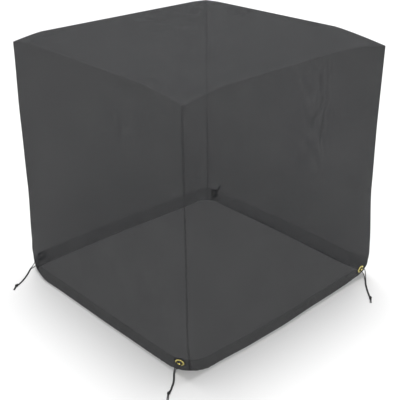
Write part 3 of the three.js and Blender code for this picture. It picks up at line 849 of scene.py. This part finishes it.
COLOUR = {"size": 4, "subtype": "COLOR"}
SHARE = {"min": 0.0, "max": 1.0, "subtype": "FACTOR"}


class CoverStudioSettings(PropertyGroup):
    """The floor, the light and the camera."""

    lens: FloatProperty(
        name="Lens", description="Focal length of the camera, in millimetres on a 36 mm sensor",
        default=64.35, min=1.0,
    )
    floor_size: FloatProperty(
        name="Floor size", description="Side of the floor", default=40.0, unit="LENGTH"
    )
    floor_colour: FloatVectorProperty(
        name="Floor colour", description="Colour of the floor",
        default=(0.86, 0.86, 0.86, 1.0), **COLOUR,
    )
    sky_strength: FloatProperty(
        name="Room light", description="Strength of the even light all round", default=0.45, min=0.0
    )
    key_strength: FloatProperty(
        name="Overhead light", description="Strength of the soft light overhead",
        default=2.4, min=0.0,
    )
    key_spread: FloatProperty(
        name="Overhead spread", description="How wide the light overhead looks from the floor",
        default=math.radians(27), subtype="ANGLE",
    )
    front_strength: FloatProperty(
        name="Front light",
        description="Strength of the light in front, which shows the grommets' domes",
        default=0.7,
        min=0.0,
    )
    front_spread: FloatProperty(
        name="Front spread", description="How wide the light in front looks from the floor",
        default=math.radians(24), subtype="ANGLE",
    )


class CoverClothSettings(PropertyGroup):
    """The mesh and its grid."""

    weave_pitch: FloatProperty(
        name="Weave pitch", description="Distance between two threads",
        default=0.0017, precision=5, unit="LENGTH", min=0.0003,
    )
    thread_share: FloatProperty(
        name="Thread share", description="Share of the pitch that a thread covers",
        default=0.46, **SHARE,
    )
    thread_cover: FloatProperty(
        name="Thread cover", description="How solid the threads are", default=0.885, **SHARE
    )
    thread_wander: FloatProperty(
        name="Thread wander",
        description="How far the threads stray from straight lines, in pitches",
        default=1.4,
        min=0.0,
    )
    gap_clearness: FloatProperty(
        name="Gap clearness", description="How much less solid the gaps are than the threads",
        default=0.31, **SHARE,
    )
    turned_clearness: FloatProperty(
        name="Turned clearness",
        description="How much less solid the cloth turned in at the seams and the hem is",
        default=0.75,
        **SHARE,
    )
    thread_colour: FloatVectorProperty(
        name="Thread colour", description="Colour of the threads",
        default=(0.014, 0.015, 0.017, 1.0), **COLOUR,
    )
    gap_colour: FloatVectorProperty(
        name="Gap colour", description="Colour of the fuzz in the gaps",
        default=(0.022, 0.023, 0.025, 1.0), **COLOUR,
    )
    wall_step: FloatProperty(
        name="Wall step", description="Size of the walls' grid",
        default=0.008, unit="LENGTH", min=0.002,
    )
    edge_step: FloatProperty(
        name="Edge step", description="Size of the grid near the seams and the hem",
        default=0.0045, unit="LENGTH", min=0.001,
    )


class CoverTieSettings(PropertyGroup):
    """Cords, knots and thread."""

    cord_sides: IntProperty(
        name="Cord sides", description="Sides of a strand's section", default=16, min=6
    )
    cord_step: FloatProperty(
        name="Cord step", description="Distance between a strand's rings",
        default=0.0008, precision=5, unit="LENGTH", min=0.0002,
    )
    braid_pitch: FloatProperty(
        name="Braid pitch", description="Length of one turn of the braid",
        default=0.0042, precision=5, unit="LENGTH", min=0.001,
    )
    strand_colour: FloatVectorProperty(
        name="Strand colour", description="Colour of the cord",
        default=(0.021, 0.021, 0.022, 1.0), **COLOUR,
    )
    # Painted shade in the cord's grooves between its bundles, and the darker tone of the thread's
    # random grain
    grain_and_groove_shade_colour: FloatVectorProperty(
        name="Groove colour", description="Colour between the cord's strands",
        default=(0.007, 0.007, 0.008, 1.0), **COLOUR,
    )
    stitch_length: FloatProperty(
        name="Stitch length", description="Length of one stitch",
        default=0.0032, precision=5, unit="LENGTH", min=0.001,
    )
    stitch_gap: FloatProperty(
        name="Stitch gap", description="Distance between two stitches",
        default=0.001, precision=5, unit="LENGTH", min=0.0001,
    )
    thread_radius: FloatProperty(
        name="Thread radius", description="Radius of the sewing thread",
        default=0.00022, precision=5, unit="LENGTH", min=0.0001,
    )


class CoverBrassSettings(PropertyGroup):
    """The grommets."""

    ring_segments: IntProperty(
        name="Ring segments", description="Segments around a grommet", default=72, min=12
    )
    brass_colour: FloatVectorProperty(
        name="Brass colour", description="Colour of the brass",
        default=(0.82, 0.71, 0.25, 1.0), **COLOUR,
    )
    tarnish_colour: FloatVectorProperty(
        name="Tarnish colour", description="Colour of the brass where it has dulled",
        default=(0.42, 0.32, 0.11, 1.0), **COLOUR,
    )


# Pieces


def strand_points(name, letter):
    """A strand's points: its own head at the grommet, then its side of the tie's run."""
    seat = grommet_seat(name)
    points = []
    for across, up, out in TIES[name]["heads"][letter]:
        reach = seat["across"] * across + seat["rise"] * up + seat["normal"] * out
        points.append(seat["middle"] + reach)
    run = [Vector((x, y, FLOOR + height)) for x, y, height in TIES[name]["run"]]
    for index, spot in enumerate(run):
        before = run[max(0, index - 1)]
        after = run[min(len(run) - 1, index + 1)]
        beside = Vector((before.y - after.y, after.x - before.x, 0.0)).normalized()
        points.append(spot + beside * SIDES[letter] * STRAND_SPREAD)
    return points


def knot_strand(tie, side):
    """The way of one strand through the knot: in, round both strands and out as a cut end."""
    before, last = (Vector((x, y, 0.0)) for x, y, _ in tie["run"][-2:])
    heading = (last - before).normalized()
    across = Vector((-heading.y, heading.x, 0.0))
    face = Vector((last.x, last.y, FLOOR + KNOT_RADIUS)) + heading * KNOT_GAP

    def at(along, out, height):
        """A point of the knot, from the middle of its near face."""
        return face + heading * along + across * out + Vector((0.0, 0.0, height))

    # In through the near face, between the turns
    in_height = tie["run"][-1][2] - KNOT_RADIUS
    points = [
        at(-KNOT_GAP, side * STRAND_SPREAD, in_height),
        at(0.0022, side * 0.0013, -0.0012),
        at(0.0062, side * 0.0008, 0.0005),
    ]

    # Round both strands, from the far end back towards the near face
    wrap_radius = KNOT_RADIUS - CORD / 2
    wrap_pitch = CORD * 1.84
    start = KNOT_LENGTH - 0.0026 - (wrap_pitch / 2 if side < 0 else 0.0)
    for index in range(KNOT_STEPS + 1):
        turn = KNOT_TURNS * index / KNOT_STEPS
        angle = KNOT_START + turn * 2 * math.pi
        tuck = smooth(min(index, KNOT_STEPS - index) / 3)
        radius = mix(wrap_radius * KNOT_TUCK, wrap_radius, tuck)
        along = start - wrap_pitch * turn
        points.append(at(along, radius * math.cos(angle), radius * math.sin(angle)))

    # Out through the far face, and down to the floor as a cut end
    exit_side = side * CORD * 0.52
    points.append(at(0.0056, exit_side * 0.6, 0.0007))
    points.append(at(KNOT_LENGTH - CORD, exit_side, -0.0007))
    tail_start = at(KNOT_LENGTH - CORD, exit_side, 0.0)
    tail = Matrix.Rotation(math.radians(tie["tail_turn"]), 3, "Z") @ heading
    tail_end = tail_start + tail * TAIL_LENGTH + across * side * TAIL_SPLAY
    tail_end.z = FLOOR + CORD * 0.58
    for share in (0.2, 0.42, 0.68, 1.0):
        spot = tail_start.lerp(tail_end, share)
        spot.z = mix(face.z - 0.0007, tail_end.z, smooth(share * 1.6))
        points.append(spot)
    return points


def add_cords(ties, material):
    """Eight strands, two to a tie, from the hem's tunnel to their knot, with their lines."""
    strands = {}
    for name in TIES:
        for letter in SIDES:
            line = catmull_rom(strand_points(name, letter), ties.cord_step)
            points, faces, uvs = tube(line, CORD / 2, ties.cord_sides, rounded=False)
            piece = mesh_object(f"strand_{name}_{letter}", points, faces, uvs)
            ready(piece, material, [f"cord_{name}_{letter}"])
            strands[name, letter] = piece, line
    return strands


def add_knots(ties, material):
    """The overhand knot of each tie, with its two cut ends."""
    knots = {}
    for name, tie in TIES.items():
        parts = []
        for side in SIDES.values():
            line = catmull_rom(knot_strand(tie, side), ties.cord_step)
            parts.append(tube(line, CORD / 2 * KNOT_TIGHT, ties.cord_sides))
        piece = mesh_object(f"tied_knot_{name}", *joined(parts))
        knots[name] = ready(piece, material, [f"knot_{name}"])
    return knots


def outer_offset(height):
    """How far the outer ply stands outside the middle of the cloth."""
    if height > STITCH_LINE:
        return CLOTH / 2
    swell = 1 - smooth((height - STITCH_LINE + STITCH_STEP) / STITCH_STEP)
    return CLOTH / 2 + HEM_PLY * swell


def inner_offset(height):
    """How far the turned-up ply stands outside the middle of the cloth: well inside it round the
    tunnel, and just behind the outer ply at the stitches."""
    tunnel = -(CLOTH / 2 + HEM_PLY)
    leaning = smooth((height - TUNNEL_TOP) / (STITCH_LINE - TUNNEL_TOP))
    return mix(tunnel, CLOTH / 2 - BEHIND, leaning)


def wall_rows(settings):
    """Rows of a wall from its top seam down, round the hem's fold and up inside it: (height,
    offset from the middle of the cloth, distance down the flat cloth)."""
    fold_radius = CLOTH / 2 + HEM_PLY
    above_stitches = STITCH_LINE + 0.0012
    heights = steps(STAND_HEIGHT, FINE_HEIGHT, settings.wall_step)[:-1]
    heights += steps(FINE_HEIGHT, above_stitches, settings.edge_step)
    heights += [STITCH_LINE, *steps(FLAT_TOP, FLAT_FOOT, settings.edge_step)]
    heights += steps(FLAT_FOOT, fold_radius, settings.edge_step)[1:-1]
    rows = [(height, outer_offset(height), STAND_HEIGHT - height) for height in heights]
    for turn in steps(0.0, math.pi, math.pi / 6):
        height = fold_radius - fold_radius * math.sin(turn)
        down = STAND_HEIGHT - fold_radius + fold_radius * turn
        rows.append((height, fold_radius * math.cos(turn), down))
    for height in steps(fold_radius, HEM_HEIGHT, settings.edge_step)[1:]:
        rows.append((height, inner_offset(height), STAND_HEIGHT + height))
    return rows


def wall_columns(name, settings):
    """Columns of a wall from its left seam to its right one, with the cloth turned in behind both:
    (column, share of the offset that is left, distance along the flat cloth)."""
    to_seam = WALLS[name]["grommet_to_seam"]
    columns = []
    for from_seam in BEHIND_SEAM:
        columns.append((("left", from_seam), ALLOWANCE_TUCK, -HALF - from_seam))
    for from_seam in [*BESIDE_SEAM, *steps(GRID_START, LEFT_REACH, settings.edge_step)]:
        columns.append((("left", from_seam), 1.0, from_seam - HALF))
    middle = TOP_WIDTH - LEFT_REACH - RIGHT_REACH
    for share in steps(0.0, 1.0, settings.wall_step / middle)[1:-1]:
        columns.append((("middle", share), 1.0, along_wall(("middle", share))))
    far = to_seam + GROMMET_FLAT
    near = to_seam - GROMMET_FLAT
    distances = steps(RIGHT_REACH, far, settings.edge_step)
    distances += steps(far, near, settings.edge_step)[1:]
    distances += steps(near, GRID_START, settings.edge_step)[1:]
    for from_seam in [*distances, *reversed(BESIDE_SEAM)]:
        columns.append((("right", from_seam), 1.0, HALF - from_seam))
    for from_seam in reversed(BEHIND_SEAM):
        columns.append((("right", from_seam), ALLOWANCE_TUCK, HALF + from_seam))
    return columns


def pucker(along, height, phase):
    """Depth of the small gathers that the drawcord makes at the hem, deepest near the corners."""
    near_corner = max(0.0, abs(along) - PUCKER_FREE) / (HALF - PUCKER_FREE)
    low_down = 1 - smooth((height - PUCKER_FOOT) / PUCKER_RISE)
    waves = 0.0
    for length, share, shift in PUCKER_WAVES:
        waves += share * math.sin(along * 2 * math.pi / length + phase * shift)
    depth = PUCKER_DEPTH * near_corner**1.5 * low_down * waves
    return depth * smooth((HALF - abs(along)) / PUCKER_SEAM)


def wall_cloth(name, column, height, offset, seat):
    """A point of the finished wall, offset from the middle of its cloth."""
    point, look = cloth_point(name, column, height)
    phase = math.radians(WALLS[name]["facing"]) * 1.7  # so that each wall has its own gathers
    point += look * pucker(along_wall(column), height, phase)
    point, look = flattened(point, look, seat)
    # The sheet reaches past the solid's top edge, up to the seam with the top panel
    point.z += (CLOTH - SEAM_GAP) * height / STAND_HEIGHT
    spot = point + look * offset
    spot.z = max(spot.z, FLOOR + OFF_FLOOR)
    return spot, look


def flat_square(rows, columns, seat):
    """First and last row and column of the flat square of cloth around a grommet."""
    heights = [round(height, 6) for height, _, _ in rows]
    alongs = [round(across, 6) for _, _, across in columns]
    edges = [round(HALF - seat["to_seam"] + reach * GROMMET_FLAT, 6) for reach in (-1, 1)]
    first_row, last_row = (heights.index(round(height, 6)) for height in (FLAT_TOP, FLAT_FOOT))
    first_column, last_column = (alongs.index(edge) for edge in edges)
    return first_row, last_row, first_column, last_column


def close_around_hole(loop, seat, points, uvs, faces):
    """Fills the flat square, from the loop of points at its edge in to the grommet's hole."""
    hole = GROMMET_HOLE / 2 + GROMMET_BARREL + GROMMET_CLEARANCE
    middle = seat["middle"] + seat["normal"] * (CLOTH / 2 + HEM_PLY)
    middle_uv = Vector((HALF - seat["to_seam"], GROMMET_HEIGHT - STAND_HEIGHT))
    outer = loop
    for share in HOLE_RINGS:
        ring = []
        for index in loop:
            from_middle = points[index] - middle
            flat = from_middle - seat["normal"] * from_middle.dot(seat["normal"])
            edge = middle + flat.normalized() * hole
            ring.append(len(points))
            points.append(points[index].lerp(edge, share))
            reach = Vector(uvs[index]) - middle_uv
            edge_uv = middle_uv + reach.normalized() * hole
            uvs.append(tuple(Vector(uvs[index]).lerp(edge_uv, share)))
        for place in range(len(loop)):
            after = (place + 1) % len(loop)
            faces.append((outer[after], outer[place], ring[place], ring[after]))
        outer = ring


def add_wall(name, settings, material):
    """One wall: a single sheet from the top seam to the hem's fold and up again inside it, with a
    round hole for the grommet in the hem's outer ply."""
    seat = grommet_seat(name)
    rows = wall_rows(settings)
    columns = wall_columns(name, settings)
    points, uvs, turned, faces = [], [], [], []
    for height, offset, down in rows:
        for column, left_over, across in columns:
            spot, _ = wall_cloth(name, column, height, offset * left_over, seat)
            points.append(spot)
            uvs.append((across, -down))
            from_ring = (spot - seat["middle"]).length - GROMMET_OUTER / 2
            is_turned = left_over < 1.0 or down > STAND_HEIGHT
            turned.append(smooth(from_ring / TURNED_FADE) if is_turned else 0.0)

    wide = len(columns)
    first_row, last_row, first_column, last_column = flat_square(rows, columns, seat)
    for row in range(len(rows) - 1):
        for column in range(wide - 1):
            if first_row <= row < last_row and first_column <= column < last_column:
                continue
            low = (row + 1) * wide + column
            high = row * wide + column
            faces.append((low, low + 1, high + 1, high))
    loop = [first_row * wide + column for column in range(first_column, last_column)]
    loop += [row * wide + last_column for row in range(first_row, last_row)]
    loop += [last_row * wide + column for column in range(last_column, first_column, -1)]
    loop += [row * wide + first_column for row in range(last_row, first_row, -1)]
    close_around_hole(loop, seat, points, uvs, faces)
    turned += [0.0] * (len(points) - len(turned))
    piece = mesh_object(f"cloth_{name}", points, faces, uvs, SHARP_CLOTH, turned)
    return ready(piece, material, [f"wall_{name}"])


def add_top(settings, material):
    """The top panel, with the cloth turned down behind its seams."""
    outer = [HALF + past for past in TOP_BEYOND] + [HALF - inset for inset in TOP_EDGE]
    outer += steps(HALF - TOP_GRID_START, 0.0, settings.wall_step)[:-1]
    lines = [-place for place in outer] + [0.0] + list(reversed(outer))
    count = len(lines)
    points, uvs, turned, faces = [], [], [], []
    round_from = HALF - SEAM_RADIUS
    for v in lines:
        for u in lines:
            drop = max(0.0, abs(u) - HALF, abs(v) - HALF)
            x, y = (max(-HALF, min(HALF, place)) for place in (u, v))
            past_x = abs(x) - round_from
            past_y = abs(y) - round_from
            if past_x > 0 and past_y > 0:
                pull = max(past_x, past_y) / math.hypot(past_x, past_y)
                x = math.copysign(round_from + past_x * pull, x)
                y = math.copysign(round_from + past_y * pull, y)
            inward = 1 - (BEHIND / HALF if drop else 0.0)
            points.append(Vector((x * inward, y * inward, top_height(x, y) - drop)))
            uvs.append((u, v))
            turned.append(float(drop > 0))
    edge = len(TOP_BEYOND)
    for row in range(count - 1):
        for column in range(count - 1):
            past_row = row < edge or row >= count - 1 - edge
            past_column = column < edge or column >= count - 1 - edge
            if past_row and past_column:
                continue
            low = row * count + column
            faces.append((low, low + 1, low + 1 + count, low + count))
    piece = mesh_object("cloth_top", points, faces, uvs, SHARP_CLOTH, turned)
    return ready(piece, material, ["top_panel"])


def add_grommets(brass):
    """Four rolled brass rings on the outer ply of the hem."""
    material = brass_material(brass)
    around = len(RING_SECTION)
    for name in WALLS:
        seat = grommet_seat(name)
        turn = Vector((0.0, 0.0, 1.0)).rotation_difference(seat["normal"])
        points = []
        for segment in range(brass.ring_segments):
            angle = 2 * math.pi * segment / brass.ring_segments
            for radius, height in RING_SECTION:
                spot = Vector((radius * math.cos(angle), radius * math.sin(angle), height))
                points.append(seat["middle"] + turn @ spot)
        faces = []
        for segment in range(brass.ring_segments):
            low = segment * around
            high = (segment + 1) % brass.ring_segments * around
            for index in range(around):
                after = (index + 1) % around
                faces.append((low + index, high + index, high + after, low + after))
        piece = mesh_object(f"ring_{name}", points, faces, sharp=SHARP_BRASS)
        ready(piece, material, [f"grommet_{name}"])


def stitch_row(line, settings):
    """Stitches along a line of (point, outward direction), each a short arched thread."""
    distances = [0.0]
    for (start, _), (end, _) in zip(line, line[1:]):
        distances.append(distances[-1] + (end - start).length)

    def at(distance, raised):
        """A point of the line, raised off the cloth."""
        high = min(max(bisect_right(distances, distance), 1), len(distances) - 1)
        low = high - 1
        share = (distance - distances[low]) / (distances[high] - distances[low])
        spot = line[low][0].lerp(line[high][0], share)
        return spot + line[low][1].lerp(line[high][1], share) * raised

    radius = settings.thread_radius
    pitch = settings.stitch_length + settings.stitch_gap
    parts = []
    for number in range(int(distances[-1] / pitch)):
        start = number * pitch + settings.stitch_gap / 2
        arch = [at(start + settings.stitch_length * on, radius * up) for on, up in ARCH]
        parts.append(tube(arch, radius, THREAD_SIDES, rounded=False))
    return parts


def add_wall_stitching(name, settings, material):
    """The row that closes the hem's tunnel, and one beside each corner seam."""
    seat = grommet_seat(name)
    left = [ROW_GRID, *steps(2 * ROW_GRID, LEFT_REACH, ROW_GRID)]
    columns = [("left", from_seam) for from_seam in left]
    columns += [("middle", share) for share in steps(0.0, 1.0, ROW_SHARE)[1:-1]]
    columns += [("right", from_seam) for from_seam in steps(RIGHT_REACH, ROW_GRID, ROW_GRID)]
    rows = [[(column, STITCH_LINE) for column in columns]]
    heights = steps(STAND_HEIGHT - SEAM_GRID, ROW_FOOT, SEAM_GRID)
    for end in ("left", "right"):
        rows.append([((end, ROW_INSET), height) for height in heights])
    parts = []
    for row in rows:
        line = []
        for column, height in row:
            line.append(wall_cloth(name, column, height, outer_offset(height), seat))
        parts += stitch_row(line, settings)
    piece = mesh_object(f"stitches_{name}", *joined(parts))
    return ready(piece, material)


def add_top_stitching(settings, material):
    """One row around the top panel, beside its seams."""
    end = HALF - ROW_INSET
    parts = []
    for quarter in range(4):
        turn = Matrix.Rotation(quarter * math.pi / 2, 3, "Z")
        row = []
        for along in steps(-end, end, SEAM_GRID):
            spot = turn @ Vector((along, -end, 0.0))
            spot.z = top_height(spot.x, spot.y)
            row.append((spot, Vector((0.0, 0.0, 1.0))))
        parts += stitch_row(row, settings)
    piece = mesh_object("stitches_top", *joined(parts))
    return ready(piece, material)


def room(studio):
    """Even light all round, which the camera sees as a white backdrop."""
    shader = Shader(bpy.data.worlds.new("room"))
    seen = shader.node("ShaderNodeLightPath", output="Is Camera Ray")
    strength = seen + (1 - seen) * studio.sky_strength
    inputs = {"Color": (1.0, 1.0, 1.0, 1.0), "Strength": strength}
    light = shader.node("ShaderNodeBackground", inputs=inputs)
    shader.node("ShaderNodeOutputWorld", inputs={"Surface": light})
    return shader.owner


def add_light(name, place, spread, strength):
    """A soft light that shines from a far place towards the cover."""
    lamp = bpy.data.lights.new(name, "SUN")
    lamp.angle = spread
    lamp.energy = strength
    holder = bpy.data.objects.new(name, lamp)
    holder.location = place
    holder.rotation_euler = (-holder.location).to_track_quat("-Z", "Y").to_euler()
    bpy.context.scene.collection.objects.link(holder)


# Operators


class OBJECT_OT_cover_stage(Operator):
    """Sets up the floor, the soft light and the camera"""

    bl_idname = "object.cover_stage"
    bl_label = "Stage"

    def execute(self, context):
        studio = context.scene.cover_studio
        scene = context.scene
        half = studio.floor_size / 2
        corners = [(-half, -half), (half, -half), (half, half), (-half, half)]
        points = [Vector((x, y, FLOOR)) for x, y in corners]
        floor = mesh_object("floor", points, [(0, 1, 2, 3)])
        floor.data.materials.append(floor_material(studio))

        camera = bpy.data.cameras.new("camera")
        camera.lens = studio.lens
        camera.sensor_width = 36.0
        camera.sensor_fit = "HORIZONTAL"
        camera.clip_end = 100.0
        holder = bpy.data.objects.new("camera", camera)
        axes = Matrix((CAMERA_RIGHT, CAMERA_UP, CAMERA_BACK)).transposed()
        holder.matrix_world = Matrix.Translation(CAMERA_PLACE) @ axes.to_4x4()
        scene.collection.objects.link(holder)
        scene.camera = holder

        scene.world = room(studio)
        add_light("overhead light", KEY_PLACE, studio.key_spread, studio.key_strength)
        add_light("front light", FRONT_PLACE, studio.front_spread, studio.front_strength)
        scene.view_settings.view_transform = "Standard"
        return {"FINISHED"}


class OBJECT_OT_cover_ties(Operator):
    """Adds the eight strands and the four knots of the ties"""

    bl_idname = "object.cover_ties"
    bl_label = "Cord ties"

    def execute(self, context):
        ties = context.scene.cover_ties
        braid = cord_material(ties)
        strands = add_cords(ties, braid)
        knots = add_knots(ties, braid)
        for (name, _), (strand, line) in strands.items():
            length_of(line)
        return {"FINISHED"}


class OBJECT_OT_cover_cloth(Operator):
    """Adds the top panel and the four walls, each one sheet of mesh"""

    bl_idname = "object.cover_cloth"
    bl_label = "Mesh panels"

    def execute(self, context):
        cloth = context.scene.cover_cloth
        ties = context.scene.cover_ties
        sheer = mesh_material(cloth)
        thread = thread_material(ties)
        top = add_top(cloth, sheer)
        top_stitches = add_top_stitching(ties, thread)
        walls = {name: add_wall(name, cloth, sheer) for name in WALLS}
        for name, wall in walls.items():
            stitches = add_wall_stitching(name, ties, thread)
        return {"FINISHED"}


class OBJECT_OT_cover_grommets(Operator):
    """Adds the four brass grommets"""

    bl_idname = "object.cover_grommets"
    bl_label = "Grommets"

    def execute(self, context):
        add_grommets(context.scene.cover_brass)
        return {"FINISHED"}


class VIEW3D_PT_mesh_cover(Panel):
    """Lists the cover's pieces in the sidebar"""

    bl_label = "Mesh Cover"
    bl_space_type = "VIEW_3D"
    bl_region_type = "UI"
    bl_category = "Mesh Cover"

    def draw(self, context):
        for operator in OPERATORS:
            self.layout.operator(operator.bl_idname)


SETTINGS = {
    "cover_studio": CoverStudioSettings,
    "cover_cloth": CoverClothSettings,
    "cover_ties": CoverTieSettings,
    "cover_brass": CoverBrassSettings,
}
OPERATORS = (
    OBJECT_OT_cover_stage,
    OBJECT_OT_cover_ties,
    OBJECT_OT_cover_cloth,
    OBJECT_OT_cover_grommets,
)
CLASSES = (*SETTINGS.values(), *OPERATORS, VIEW3D_PT_mesh_cover)


def register():
    for each in CLASSES:
        bpy.utils.register_class(each)
    for name, group in SETTINGS.items():
        setattr(bpy.types.Scene, name, PointerProperty(type=group))


def unregister():
    for name in SETTINGS:
        delattr(bpy.types.Scene, name)
    for each in reversed(CLASSES):
        bpy.utils.unregister_class(each)


def main():
    register()
    bpy.ops.object.cover_stage()
    bpy.ops.object.cover_ties()
    bpy.ops.object.cover_cloth()
    bpy.ops.object.cover_grommets()


if __name__ == "__main__":
    main()
